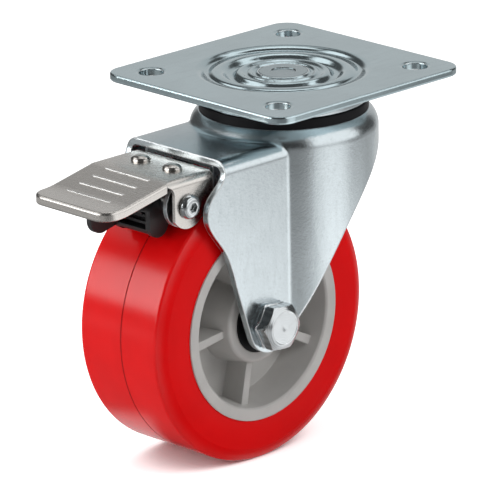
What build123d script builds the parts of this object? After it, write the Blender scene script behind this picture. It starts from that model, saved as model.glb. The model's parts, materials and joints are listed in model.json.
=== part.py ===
"""Plate-mounted swivel castor with a toe brake.

Origin: the swivel axis where it meets the top face of the plate.
+Z is up, +X is the side that the wheel trails to and the brake pedal is on, +Y is along the axle,
towards the head of the axle bolt. All lengths are in millimetres.
"""
import os
from math import atan2, cos, degrees, hypot, radians, sin, sqrt, tan

from build123d import *

os.makedirs("parts", exist_ok=True)

# ---------------------------------------------------------------- driving dimensions
# Castor
wheel_d = 125.0
wheel_top_drop = 38.0        # plate top to the top of the tread
trail = 39.5                 # swivel axis to axle
wheel_gap = 1.5              # each face of the wheel core to the leg beside it

# Fits and clearances
running_fit = 0.05           # radial clearance of a turning fit
seat_gap = 0.3               # air between faces that pass each other
ball_play = 0.05             # air between a ball and its race

# Top plate
plate_l = 114.0              # along X
plate_w = 110.0              # along Y
plate_t = 3.5
plate_corner_r = 9.5
plate_edge_r = 0.8
hole_pitch_x = 84.0
hole_pitch_y = 78.0
hole_d = 11.0
hole_rollover_r = 6.85       # punched edge of each hole at the top face
hole_rollover_depth = 0.4

# Pressed dish of the plate: depths are below the plate's top face
dish_depth = 1.4
crest_depth = 0.7
groove_inset = 5.3           # bottom of the deep groove, inside the pitch circle of the upper balls
groove_depth = 3.4
ring_steps = (0.67, 0.46, 0.30, 0.14)   # crests and valleys of the rings, from kingpin to groove
ring_depth = 1.0
valley_depth = 1.9

# Ball races
ball_r = 4.0
race_depth = 0.75            # how far a ball sinks into a flat race
upper_ball_drop = 8.3        # plate top to the centres of the upper balls
upper_ball_count = 18
lower_pitch_r = 21.0
lower_ball_count = 14
race_plate_t = 3.5
race_cup_t = 2.0
race_land = 1.6              # flat of the head outside the upper balls
race_lead = 1.5              # height of the slope that leads into the plate's race

# Kingpin
kingpin_head_r = 10.85
kingpin_head_drop = 0.95
kingpin_dimple_r = 5.7
kingpin_dimple_depth = 0.5
kingpin_flange_r = 15.0
kingpin_flange_t = 2.4
kingpin_stem_r = 9.0
kingpin_thread_r = 7.0
kingpin_nut_af = 21.0
kingpin_nut_t = 9.5
kingpin_washer_r = 13.0
kingpin_washer_t = 2.2
thread_runout = 1.2          # thread that stands past a nut

# Yoke, pressed from one sheet
sheet_t = 3.0
crease_x = 27.85             # swivel axis to the crease where the flat legs leave the drum
rim_drop = 17.0              # plate top to the yoke's rim
rim_step = 0.1               # how far the rim stands outside the race cup
cup_gap = 1.6                # between the yoke's collar and the inside of the race cup
seal_round = 0.8
shoulder_w = 4.0             # width and height of the drum's round shoulder
shoulder_drop = 8.0
shelf_drop = 22.0            # plate top to the yoke's front shelf
shelf_reach = 25.9           # axle to the front edge of the shelf
fold_r = 6.0                 # outside radius of the fold between shelf and leg
crease_r = 3.0               # blend between the drum and the front of the yoke
kingpin_hole_r = 13.0

# Side outline of the yoke, as places along X from the axle and along Z from the plate's top
front_edge = [(30.0, -33.1), (34.7, -37.6), (36.8, -44.9), (32.5, -54.2), (25.8, -63.6), (21.0, -76.5)]
rear_edge = [(-60.0, -37.9), (-50.1, -46.6), (-35.5, -63.9), (-24.1, -83.1)]
rear_drop = 28.5             # plate top to the lower edge of the drum at its back
leg_end_r = 12.6
leg_end_front = -18.0        # directions at which the two edges run into the round end
leg_end_rear = -150.0

# Tyre
tyre_inset = 0.7             # from the face of the core to the side of the tyre
tyre_shoulder_w = 2.5        # sloping shoulder between tread and side, across the tyre
tyre_shoulder_h = 5.5        # and from the tread inwards
tyre_edge_r = 1.6            # rounding on both edges of the shoulder
tyre_bulge = 0.4             # how far each side face bulges

# Wheel core
core_w = 52.0                # over the two rim rings
rim_outer_r = 44.0
rim_key_r = 47.0             # raised band that keys into the tyre
rim_key_w = 36.0
rim_key_slope = 3.0
rim_inner_r = 38.5
rim_bevel = 0.8
rim_draft = 1.6
web_w = 16.0
hub_w = 47.0
hub_r = 18.5
hub_root_r = 21.0
hub_edge_r = 1.8
spoke_w = 40.0               # over the spokes of both sides
spoke_t = 4.1                # where it meets the rim
spoke_axis_t = 2.4           # that its tapering sides would have at the axle
spoke_count = 5
spoke_angle = -8.0           # of the first spoke, from +X towards +Z

# Wheel bearings
bearing_r = 14.0
bearing_bore_r = 6.0
bearing_w = 8.0
bearing_face = 22.9          # outer face of each bearing, from the middle of the wheel
bearing_ball_r = 2.4
bearing_ball_count = 8
bearing_race_depth = 0.7
cap_t = 1.1
cap_bore_r = 9.2
sleeve_r = 8.6
core_bore_r = 11.0

# Axle bolt and its hardware
axle_r = 6.0
bolt_af = 19.0
bolt_head_t = 6.3
bolt_face_t = 0.5            # round face under the head
bolt_face_r = 8.7
bolt_crown_w = 1.7           # how far the bevelled crown of the head reaches in from its flats
bolt_rim_w = 0.6             # ring left standing round the hollow of the head's face
bolt_hollow_depth = 0.2
bolt_dimple_r = 1.6
bolt_dimple_depth = 0.3
lock_plate_t = 2.2
lock_plate_af = 19.4
washer_r = 10.2
washer_t = 2.0
axle_nut_t = 10.0
axle_nut_collar_r = 8.4
axle_nut_collar_t = 2.5
hex_turn = 4.0               # how far the bolt was left turned past level, in degrees
hex_chamfer_angle = 30.0

# Brake: pivot, pedal, shoe and bracket
pivot_reach = 42.3           # axle to pivot, along X
pivot_drop = 38.9
pivot_r = 3.0
ear_r = 9.8                  # round end of the pedal's ears and of the bracket
pedal_t = 1.6
pedal_drop = 26.3            # plate top to the flat of the pedal
pedal_back_reach = 14.8      # pivot to the back edge, the two bends and the tip of the pedal, along X
pedal_bend_reach = 8.7
pedal_toe_bend_reach = 36.2
pedal_tip_reach = 47.6
pedal_slope = 11.3           # fall of the tongue between its bends, in degrees
pedal_toe_slope = 1.5        # fall of the tongue past its second bend
pedal_bend_r = 40.0
pedal_side_step = 0.7        # how far the tongue's sides stand inside the house's
pedal_corner_r = 7.5
pedal_lip = 4.3
pedal_edge_r = 1.3
pedal_hem_r = 0.7            # rounded foot of the lip
house_gap = 3.0              # between the pedal's ears and the legs of the yoke
pedal_fold_r = 3.4
pedal_shoulder_reach = 11.6  # pivot to the front end of the folded house, where the tongue sets off
ear_front_reach = 8.0
ear_relief_r = 4.6           # hollow corner between ear and tongue
ear_back_fall = 1.1          # how far below the pivot the ear's back edge starts to curve
grip_count = 4
grip_first_reach = 12.2
grip_pitch = 7.55
grip_l = 26.5
grip_w = 1.0
grip_h = 0.35
rivet_reach = 5.1            # pivot back to the rivets
rivet_pitch = 19.5
rivet_head_r = 4.4
rivet_head_h = 1.6
rivet_shank_r = 2.0
rivet_foot_r = 3.0
rivet_foot_t = 1.0

shoe_w = 23.0
shoe_wall = 2.6
shoe_front_reach = 10.7      # pivot to the front of the shoe
shoe_top_rise = 0.5          # top of the shoe's cheeks over the pivot
shoe_cheek_r = 5.5
shoe_flange_w = 27.0
shoe_flange_t = 3.0
shoe_flange_back_reach = 12.6
shoe_flange_front_reach = 5.6
shoe_neck_w = 11.0
shoe_back_r = 10.9           # round back of the shoe about the pivot
shoe_boss_r = 5.2
lobe_fall = 10.0             # pivot down to the middle of the round lobe that meets the tread
lobe_r = 5.4
shoe_bar_t = 2.2
shoe_bar_fall = 13.5         # pivot down to the underside of the front bar
shoe_hollow_depth = 6.0
shoe_hollow_fall = 3.7       # pivot down to the top of the hollow
shoe_rib_t = 1.2
shoe_rib_pitch = 3.0
shoe_rib_set_back = 1.6
toe_gap = 0.3                # air over the toe, which follows the tongue's underside
toe_reach = 19.6
toe_fall = 8.1
toe_r = 6.3

bracket_side_gap = 1.9       # between the bracket's cheeks and the pedal's ears
bracket_t = 2.0
bracket_l = 17.5
bracket_set_back = 1.9       # shelf's front edge to the front of the bracket's flange
bracket_heel = 7.0           # height of the bracket's cheeks at their back
screw_head_r = 5.5
screw_head_t = 2.9
screw_socket_af = 4.0
screw_socket_depth = 1.8
pivot_nut_af = 10.0
pivot_nut_t = 5.0
spacer_r = 5.0
spring_w = 12.0
spring_set_back = 4.0        # back of the bracket to the back of the spring
spring_t = 0.8
spring_flat_l = 10.5
spring_bend_r = 4.0
spring_rivet_r = 1.6
spring_rivet_head_r = 3.0
spring_rivet_head_t = 1.2

# ---------------------------------------------------------------- places worked out from them
tread_r = wheel_d / 2
axle_drop = wheel_top_drop + tread_r
axle = (trail, -axle_drop)
leg_in = core_w / 2 + wheel_gap
leg_out = leg_in + sheet_t
drum_r = hypot(crease_x, leg_out)
rim_r = drum_r - shoulder_w
race_cup_r = rim_r - rim_step
collar_r = race_cup_r - race_cup_t - cup_gap
upper_pitch_r = collar_r - race_land - ball_r
dish_r = race_cup_r + dish_depth
groove_r = upper_pitch_r - groove_inset
shelf_front = trail + shelf_reach

pivot_x = trail + pivot_reach
pivot = (pivot_x, -pivot_drop)
pedal_back = pivot_x - pedal_back_reach
pedal_bend_x = pivot_x + pedal_bend_reach
pedal_toe_bend_x = pivot_x + pedal_toe_bend_reach
pedal_tip = pivot_x + pedal_tip_reach
pedal_shoulder_x = pivot_x + pedal_shoulder_reach
ear_front = pivot_x + ear_front_reach
rivet_x = pivot_x - rivet_reach
shoe_front = pivot_x + shoe_front_reach
shoe_hollow_top = -(pivot_drop + shoe_hollow_fall)
shoe_bar_z = -(pivot_drop + shoe_bar_fall)
shoe_bar_top = shoe_bar_z + shoe_bar_t
toe_x = pivot_x + toe_reach
toe_z = -(pivot_drop + toe_fall)
bracket_front = shelf_front - bracket_set_back
bracket_back = bracket_front - bracket_l
spring_back = bracket_back + spring_set_back
spring_rivet_x = spring_back + spring_flat_l / 2

plate_under = -(plate_t + dish_depth)
race_r = ball_r + ball_play
upper_ball_z = -upper_ball_drop
head_top = upper_ball_z - ball_r + race_depth
head_under = head_top - race_plate_t
lower_ball_z = head_under - ball_r + race_depth
lower_race_top = lower_ball_z - ball_r + race_depth
lower_race_under = lower_race_top - race_plate_t
kingpin_nut_top = lower_race_under - kingpin_washer_t
kingpin_end = kingpin_nut_top - kingpin_nut_t - thread_runout

shelf_top = -shelf_drop
shelf_under = shelf_top - sheet_t
pedal_top = -pedal_drop
pedal_under = pedal_top - pedal_t
house_out = leg_in - house_gap
house_in = house_out - pedal_t
cheek_out = house_in - bracket_side_gap
cheek_in = cheek_out - bracket_t


def put_on_axle(builder):
    """Move a piece that was built about the Y axis to the axle."""
    builder.part.locate(Location((trail, 0, -axle_drop)))


def put_on_pivot(builder):
    """Move a piece that was built about the Y axis to the brake's pivot."""
    builder.part.locate(Location((pivot_x, 0, -pivot_drop)))


def finish(builder, name):
    """Label a finished piece and write its file."""
    builder.part.label = name
    export_step(builder.part, f"parts/{name}.step")


# ---------------------------------------------------------------- top plate
ring_radii = [kingpin_head_r + step * (groove_r - kingpin_head_r) for step in ring_steps]
dish_points = [
    (dish_r, 0),
    (collar_r, -dish_depth),
    (upper_pitch_r, -crest_depth),
    (groove_r, -groove_depth),
    (ring_radii[0], -ring_depth),
    (ring_radii[1], -valley_depth),
    (ring_radii[2], -ring_depth),
    (ring_radii[3], -valley_depth),
    (kingpin_head_r + running_fit, -ring_depth),
]
race_edge = sqrt(race_r**2 - (upper_ball_z - plate_under) ** 2)
race_foot_z = plate_under - race_lead
race_foot = sqrt(race_r**2 - (upper_ball_z - race_foot_z) ** 2)
groove_under = -(groove_depth + plate_t)

rollover_angle = degrees(atan2(hole_rollover_r - hole_d / 2, hole_rollover_depth))

with BuildPart() as top_plate:
    with BuildSketch():
        RectangleRounded(plate_l, plate_w, plate_corner_r)
        Circle(dish_r, mode=Mode.SUBTRACT)
    extrude(amount=-plate_t)
    fillet([e for f in top_plate.faces().filter_by(Axis.Z) for e in f.outer_wire().edges()], plate_edge_r)
    with BuildSketch(Plane.XZ):
        with BuildLine():
            for outer, inner in zip(dish_points, dish_points[1:]):
                Spline(outer, inner, tangents=[(-1, 0), (-1, 0)])
            Line(dish_points[-1], (dish_points[-1][0], plate_under))
            Polyline(
                (dish_points[-1][0], plate_under),
                (ring_radii[0], plate_under),
                (groove_r - (ring_radii[0] - ring_radii[1]), groove_under),
                (groove_r, groove_under),
                (upper_pitch_r - race_foot, race_foot_z),
            )
            ThreePointArc(
                (upper_pitch_r - race_foot, race_foot_z),
                (upper_pitch_r, upper_ball_z + race_r),
                (upper_pitch_r + race_edge, plate_under),
            )
            Polyline(
                (upper_pitch_r + race_edge, plate_under),
                (race_cup_r, plate_under),
                (dish_r, -plate_t),
                (dish_r, 0),
            )
        make_face()
    revolve(axis=Axis.Z)
    with GridLocations(hole_pitch_x, hole_pitch_y, 2, 2):
        CounterSinkHole(hole_d / 2, hole_rollover_r, counter_sink_angle=2 * rollover_angle)
finish(top_plate, "top_plate")

# ---------------------------------------------------------------- upper race cup
cup_foot_z = upper_ball_z - ball_r
with BuildPart() as race_cup:
    with BuildSketch(Plane.XZ):
        with BuildLine():
            Polyline(
                (race_cup_r, plate_under),
                (race_cup_r, cup_foot_z),
                (race_cup_r - race_cup_t, cup_foot_z),
                (race_cup_r - race_cup_t, plate_under - race_cup_t),
                (collar_r, plate_under - race_cup_t),
                (collar_r, plate_under),
                close=True,
            )
        make_face()
    revolve(axis=Axis.Z)
    fillet(race_cup.edges().sort_by(Axis.Z)[0:2], race_cup_t / 4)
finish(race_cup, "race_cup")

# ---------------------------------------------------------------- kingpin and what it clamps
flange_under = plate_under - kingpin_flange_t
with BuildPart() as kingpin:
    with BuildSketch(Plane.XZ):
        with BuildLine():
            Polyline(
                (0, -(kingpin_head_drop + kingpin_dimple_depth)),
                (kingpin_dimple_r - kingpin_dimple_depth, -(kingpin_head_drop + kingpin_dimple_depth)),
                (kingpin_dimple_r, -kingpin_head_drop),
                (kingpin_head_r, -kingpin_head_drop),
                (kingpin_head_r, plate_under),
                (kingpin_flange_r, plate_under),
                (kingpin_flange_r, flange_under),
                (kingpin_stem_r, flange_under),
                (kingpin_stem_r, lower_race_top),
                (kingpin_thread_r, lower_race_top),
                (kingpin_thread_r, kingpin_end),
                (0, kingpin_end),
                close=True,
            )
        make_face()
    revolve(axis=Axis.Z)
    chamfer(kingpin.edges().filter_by(GeomType.CIRCLE).sort_by(Axis.Z)[0], thread_runout / 2)
    head_rim = kingpin.edges().filter_by(GeomType.CIRCLE).filter_by(
        lambda e: abs(e.radius - kingpin_head_r) < running_fit
    )
    fillet(head_rim.sort_by(Axis.Z)[-1], kingpin_dimple_depth)
finish(kingpin, "kingpin")

race_lip_in = lower_pitch_r + ball_r + seat_gap
race_lip_out = race_lip_in + race_cup_t
with BuildPart() as lower_race:
    with BuildSketch(Plane.XZ):
        with BuildLine():
            Polyline(
                (kingpin_thread_r + running_fit, lower_race_top),
                (race_lip_in, lower_race_top),
                (race_lip_in, lower_ball_z),
                (race_lip_out, lower_ball_z),
                (race_lip_out, lower_race_under),
                (kingpin_thread_r + running_fit, lower_race_under),
                close=True,
            )
        make_face()
    revolve(axis=Axis.Z)
    fillet(lower_race.edges().sort_by(Axis.Z)[-2:], race_cup_t / 4)
    with BuildSketch(Plane.XZ):
        with Locations((lower_pitch_r, lower_ball_z)):
            Circle(race_r)
    revolve(axis=Axis.Z, mode=Mode.SUBTRACT)
finish(lower_race, "lower_race")

with BuildPart() as kingpin_washer:
    with BuildSketch(Plane.XY.offset(kingpin_nut_top)):
        Circle(kingpin_washer_r)
        Circle(kingpin_thread_r + running_fit, mode=Mode.SUBTRACT)
    extrude(amount=kingpin_washer_t)
finish(kingpin_washer, "kingpin_washer")


def hex_bevel(across_flats, low, high, bevel_low=True, reach_in=seat_gap):
    """Half section, as (radius, height), of the round body that bevels the corners of a hexagon."""
    corner = across_flats / sqrt(3)
    flat = across_flats / 2 - reach_in
    drop = (corner - flat) * tan(radians(hex_chamfer_angle))
    foot = [(corner, low + drop), (flat, low)] if bevel_low else [(corner, low)]
    return [(0, high), (flat, high), (corner, high - drop), *foot, (0, low)]


with BuildPart() as kingpin_nut:
    with BuildSketch(Plane.XY.offset(kingpin_nut_top)):
        RegularPolygon(kingpin_nut_af / 2, 6, major_radius=False)
        Circle(kingpin_thread_r + running_fit, mode=Mode.SUBTRACT)
    extrude(amount=-kingpin_nut_t)
    with BuildSketch(Plane.XZ):
        Polygon(*hex_bevel(kingpin_nut_af, kingpin_nut_top - kingpin_nut_t, kingpin_nut_top), align=None)
    revolve(axis=Axis.Z, mode=Mode.INTERSECT)
finish(kingpin_nut, "kingpin_nut")

# ---------------------------------------------------------------- balls of the two swivel races
with BuildPart() as upper_balls:
    with Locations((0, 0, upper_ball_z)):
        with PolarLocations(upper_pitch_r, upper_ball_count):
            Sphere(ball_r)
finish(upper_balls, "upper_balls")

with BuildPart() as lower_balls:
    with Locations((0, 0, lower_ball_z)):
        with PolarLocations(lower_pitch_r, lower_ball_count):
            Sphere(ball_r)
finish(lower_balls, "lower_balls")

# ---------------------------------------------------------------- yoke
def on_leg_end(direction):
    """Where the round end of the legs lies in this direction from the axle, as (x, z)."""
    return trail + leg_end_r * cos(radians(direction)), leg_end_r * sin(radians(direction)) - axle_drop


def is_crease(edge):
    """Whether the front of the yoke runs into the drum along this edge."""
    start, near_start, middle = edge @ 0, edge @ 0.2, edge @ 0.5
    on_front = middle.X > 0 and start.Z < shelf_top + running_fit and middle.Z > leg_foot + sheet_t
    return on_front and abs(hypot(near_start.X, near_start.Y) - drum_r) < crease_r / 3


drum_in_r = drum_r - sheet_t
leg_foot = -(axle_drop + leg_end_r)
shoulder_r = (shoulder_w**2 + shoulder_drop**2) / (2 * shoulder_w)
shoulder_foot = -(rim_drop + shoulder_drop)
rim_in_z = -(rim_drop + sheet_t)
rim_in_r = drum_r - shoulder_r + sqrt((shoulder_r - sheet_t) ** 2 - (shoulder_foot - rim_in_z) ** 2)
fork_reach = trail + max(x for x, z in front_edge) + sheet_t

rear_meet = on_leg_end(leg_end_rear)
front_meet = on_leg_end(leg_end_front)

with BuildPart() as yoke_cavity:
    with BuildSketch(Plane.XY.offset(shelf_under)):
        Rectangle(fork_reach, 2 * leg_in, align=(Align.MIN, Align.CENTER))
    extrude(amount=leg_foot - shelf_under)
    fillet(yoke_cavity.edges().filter_by(Axis.X).group_by(Axis.Z)[-1], fold_r - sheet_t)
    with BuildSketch(Plane.XZ):
        with BuildLine():
            Polyline(
                (0, leg_foot),
                (0, head_under),
                (collar_r - sheet_t, head_under),
                (collar_r - sheet_t, rim_in_z),
                (rim_in_r, rim_in_z),
            )
            TangentArc((drum_in_r, shoulder_foot), (rim_in_r, rim_in_z), tangent=(0, 1))
            Polyline((drum_in_r, shoulder_foot), (drum_in_r, leg_foot), (0, leg_foot))
        make_face()
    revolve(axis=Axis.Z)

with BuildPart() as yoke:
    with BuildSketch(Plane.XY.offset(shelf_top)):
        Rectangle(fork_reach, 2 * leg_out, align=(Align.MIN, Align.CENTER))
    extrude(amount=leg_foot - shelf_top)
    fillet(yoke.edges().filter_by(Axis.X).group_by(Axis.Z)[-1], fold_r)
    with BuildSketch(Plane.XZ):
        with BuildLine():
            Polyline(
                (0, leg_foot),
                (0, head_top),
                (collar_r, head_top),
                (collar_r, -rim_drop),
                (rim_r, -rim_drop),
            )
            TangentArc((drum_r, shoulder_foot), (rim_r, -rim_drop), tangent=(0, 1))
            Polyline((drum_r, shoulder_foot), (drum_r, leg_foot), (0, leg_foot))
        make_face()
    revolve(axis=Axis.Z)
    fillet(yoke.edges().filter_by(is_crease), crease_r)
    add(yoke_cavity.part, mode=Mode.SUBTRACT)
    with BuildSketch(Plane.XZ):
        with BuildLine():
            Polyline((shelf_front, 0), (-2 * drum_r, 0), (-2 * drum_r, -rear_drop), (-drum_r, -rear_drop))
            Spline(
                (-drum_r, -rear_drop),
                *[(trail + x, z) for x, z in rear_edge],
                rear_meet,
                tangents=[(1, 0), (-sin(radians(leg_end_rear)), cos(radians(leg_end_rear)))],
            )
            ThreePointArc(rear_meet, (trail, leg_foot), front_meet)
            Spline(
                (shelf_front, shelf_under),
                *[(trail + x, z) for x, z in front_edge],
                front_meet,
                tangents=[(0, -1), (sin(radians(leg_end_front)), -cos(radians(leg_end_front)))],
            )
            Line((shelf_front, shelf_under), (shelf_front, 0))
        make_face()
    extrude(amount=2 * drum_r, both=True, mode=Mode.INTERSECT)
    with BuildSketch(Plane.XZ):
        Rectangle(kingpin_hole_r, -leg_foot, align=(Align.MIN, Align.MAX))
        with Locations((upper_pitch_r, upper_ball_z), (lower_pitch_r, lower_ball_z)):
            Circle(race_r)
    revolve(axis=Axis.Z, mode=Mode.SUBTRACT)
    with BuildSketch(Plane.XZ):
        with Locations(axle):
            Circle(axle_r + running_fit)
    extrude(amount=2 * leg_out, both=True, mode=Mode.SUBTRACT)
finish(yoke, "yoke")

# ---------------------------------------------------------------- dust seal between the race cup and the yoke
with BuildPart() as dust_seal:
    with BuildSketch(Plane.XY.offset(-rim_drop)):
        Circle(race_cup_r - rim_step)
        Circle(collar_r + running_fit, mode=Mode.SUBTRACT)
    extrude(amount=rim_drop + cup_foot_z - seat_gap)
    fillet(dust_seal.edges().group_by(Axis.Z)[-1].sort_by(SortBy.RADIUS)[-1], seal_round)
finish(dust_seal, "dust_seal")

# ---------------------------------------------------------------- wheel
rim_face = core_w / 2
web_face = web_w / 2
hub_face = hub_w / 2
spoke_face = spoke_w / 2
side_face = rim_face - tyre_inset
tyre_side_r = tread_r - tyre_shoulder_h
key_half = rim_key_w / 2
web_rim_r = rim_inner_r - rim_draft

with BuildPart() as tyre:
    with BuildSketch():
        with BuildLine():
            ThreePointArc(
                (rim_outer_r, side_face),
                ((rim_outer_r + tyre_side_r) / 2, side_face + tyre_bulge),
                (tyre_side_r, side_face),
            )
            Polyline(
                (tyre_side_r, side_face),
                (tread_r, side_face - tyre_shoulder_w),
                (tread_r, 0),
                (rim_key_r, 0),
                (rim_key_r, key_half),
                (rim_outer_r, key_half + rim_key_slope),
                (rim_outer_r, side_face),
            )
        make_face()
        fillet([v for v in vertices() if v.Y > key_half and v.X > rim_key_r], tyre_edge_r)
        mirror(about=Plane.XZ)
    revolve(axis=Axis.Y)
put_on_axle(tyre)
finish(tyre, "tyre")

with BuildPart() as wheel_core:
    with BuildSketch():
        with BuildLine():
            Polyline(
                (core_bore_r, 0),
                (core_bore_r, bearing_face - bearing_w),
                (bearing_r, bearing_face - bearing_w),
                (bearing_r, hub_face),
                (hub_r, hub_face),
                (hub_root_r, web_face),
                (web_rim_r, web_face),
                (rim_inner_r, rim_face - rim_bevel),
                (rim_inner_r + rim_bevel, rim_face),
                (rim_outer_r, rim_face),
                (rim_outer_r, key_half + rim_key_slope),
                (rim_key_r, key_half),
                (rim_key_r, 0),
                close=True,
            )
        make_face()
        mirror(about=Plane.XZ)
    revolve(axis=Axis.Y)
    with BuildSketch(Plane.XZ):
        with PolarLocations(0, spoke_count, start_angle=spoke_angle):
            Polygon(
                (0, spoke_axis_t / 2), (rim_inner_r, spoke_t / 2),
                (rim_inner_r, -spoke_t / 2), (0, -spoke_axis_t / 2), align=None,
            )
        Circle(hub_r, mode=Mode.SUBTRACT)
    extrude(amount=spoke_face, both=True)
    fillet(wheel_core.edges().filter_by(GeomType.CIRCLE).filter_by(
        lambda e: abs(e.radius - hub_r) < running_fit and abs(abs((e @ 0).Y) - hub_face) < running_fit
    ), hub_edge_r)
put_on_axle(wheel_core)
finish(wheel_core, "wheel_core")

bearing_mid = bearing_face - bearing_w / 2
bearing_pitch_r = (bearing_r + bearing_bore_r) / 2
ball_race_r = bearing_ball_r + ball_play
outer_ring_in = bearing_pitch_r + bearing_ball_r - bearing_race_depth
inner_ring_out = bearing_pitch_r - bearing_ball_r + bearing_race_depth

with BuildPart() as bearing_outer_rings:
    with BuildSketch():
        with Locations((bearing_r, bearing_mid)):
            Rectangle(bearing_r - outer_ring_in, bearing_w, align=(Align.MAX, Align.CENTER))
        with Locations((bearing_pitch_r, bearing_mid)):
            Circle(ball_race_r, mode=Mode.SUBTRACT)
        mirror(about=Plane.XZ)
    revolve(axis=Axis.Y)
put_on_axle(bearing_outer_rings)
finish(bearing_outer_rings, "bearing_outer_rings")

with BuildPart() as bearing_inner_rings:
    with BuildSketch():
        with Locations((axle_r + running_fit, bearing_mid)):
            Rectangle(inner_ring_out - axle_r - running_fit, bearing_w, align=(Align.MIN, Align.CENTER))
        with Locations((bearing_pitch_r, bearing_mid)):
            Circle(ball_race_r, mode=Mode.SUBTRACT)
        mirror(about=Plane.XZ)
    revolve(axis=Axis.Y)
put_on_axle(bearing_inner_rings)
finish(bearing_inner_rings, "bearing_inner_rings")

with BuildPart() as bearing_balls:
    for y in (bearing_mid, -bearing_mid):
        with Locations(Plane.XZ.offset(y)):
            with PolarLocations(bearing_pitch_r, bearing_ball_count):
                Sphere(bearing_ball_r)
put_on_axle(bearing_balls)
finish(bearing_balls, "bearing_balls")

with BuildPart() as dust_caps:
    with BuildSketch():
        with Locations((cap_bore_r, bearing_face)):
            Rectangle(bearing_r - cap_bore_r, cap_t, align=(Align.MIN, Align.MIN))
        mirror(about=Plane.XZ)
    revolve(axis=Axis.Y)
    fillet(dust_caps.edges().filter_by(
        lambda e: abs(abs((e @ 0).Y) - bearing_face - cap_t) < running_fit
    ), cap_t / 3)
put_on_axle(dust_caps)
finish(dust_caps, "dust_caps")

# ---------------------------------------------------------------- axle bolt and what it clamps
head_seat = leg_out + lock_plate_t
head_face = head_seat + bolt_face_t
bolt_top = head_seat + bolt_head_t
hollow_r = bolt_af / 2 - bolt_crown_w - bolt_rim_w
hollow_floor = bolt_top - bolt_hollow_depth
nut_seat = leg_out + washer_t
nut_end = nut_seat + axle_nut_t
bolt_end = nut_end + thread_runout

with BuildPart() as axle_bolt:
    with BuildSketch(Plane.XZ.offset(-bolt_top)):
        RegularPolygon(bolt_af / 2, 6, major_radius=False, rotation=hex_turn)
    extrude(amount=bolt_top - head_face)
    with BuildSketch():
        Polygon(*hex_bevel(bolt_af, head_face, bolt_top, False, bolt_crown_w), align=None)
        Polygon(
            (0, bolt_top), (hollow_r, bolt_top), (hollow_r, hollow_floor),
            (bolt_dimple_r, hollow_floor), (0, hollow_floor - bolt_dimple_depth),
            align=None, mode=Mode.SUBTRACT,
        )
    revolve(axis=Axis.Y, mode=Mode.INTERSECT)
    with BuildSketch():
        with BuildLine():
            Polyline(
                (0, head_face),
                (bolt_face_r, head_face),
                (bolt_face_r, head_seat),
                (axle_r, head_seat),
                (axle_r, thread_runout / 2 - bolt_end),
                (axle_r - thread_runout / 2, -bolt_end),
                (0, -bolt_end),
                close=True,
            )
        make_face()
    revolve(axis=Axis.Y)
put_on_axle(axle_bolt)
finish(axle_bolt, "axle_bolt")

with BuildPart() as axle_lock_plate:
    with BuildSketch(Plane.XZ.offset(-head_seat)):
        RegularPolygon(lock_plate_af / 2, 6, major_radius=False, rotation=hex_turn)
        Circle(axle_r + running_fit, mode=Mode.SUBTRACT)
    extrude(amount=lock_plate_t)
    with BuildSketch():
        Polygon(*hex_bevel(lock_plate_af, leg_out, head_seat), align=None)
    revolve(axis=Axis.Y, mode=Mode.INTERSECT)
put_on_axle(axle_lock_plate)
finish(axle_lock_plate, "axle_lock_plate")

with BuildPart() as axle_washer:
    with BuildSketch(Plane.XZ.offset(leg_out)):
        Circle(washer_r)
        Circle(axle_r + running_fit, mode=Mode.SUBTRACT)
    extrude(amount=washer_t)
    fillet(axle_washer.edges().group_by(Axis.Y)[0].sort_by(SortBy.RADIUS)[-1], washer_t / 4)
put_on_axle(axle_washer)
finish(axle_washer, "axle_washer")

with BuildPart() as axle_nut:
    with BuildSketch(Plane.XZ.offset(nut_seat)):
        RegularPolygon(bolt_af / 2, 6, major_radius=False, rotation=hex_turn)
    extrude(amount=axle_nut_t - axle_nut_collar_t)
    with BuildSketch():
        Polygon(*hex_bevel(bolt_af, axle_nut_collar_t - nut_end, -nut_seat), align=None)
    revolve(axis=Axis.Y, mode=Mode.INTERSECT)
    with BuildSketch(Plane.XZ.offset(nut_seat)):
        Circle(axle_nut_collar_r)
    extrude(amount=axle_nut_t)
    fillet(axle_nut.edges().group_by(Axis.Y)[0], axle_nut_collar_t / 3)
    with BuildSketch(Plane.XZ.offset(nut_seat)):
        Circle(axle_r + running_fit)
    extrude(amount=axle_nut_t, mode=Mode.SUBTRACT)
put_on_axle(axle_nut)
finish(axle_nut, "axle_nut")

with BuildPart() as axle_sleeve:
    with BuildSketch(Plane.XZ):
        Circle(sleeve_r)
        Circle(axle_r + running_fit, mode=Mode.SUBTRACT)
    extrude(amount=bearing_face - bearing_w, both=True)
put_on_axle(axle_sleeve)
finish(axle_sleeve, "axle_sleeve")

with BuildPart() as axle_spacers:
    with BuildSketch():
        with Locations((axle_r + running_fit, bearing_face)):
            Rectangle(sleeve_r - axle_r - running_fit, leg_in - bearing_face, align=(Align.MIN, Align.MIN))
        mirror(about=Plane.XZ)
    revolve(axis=Axis.Y)
put_on_axle(axle_spacers)
finish(axle_spacers, "axle_spacers")

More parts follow.
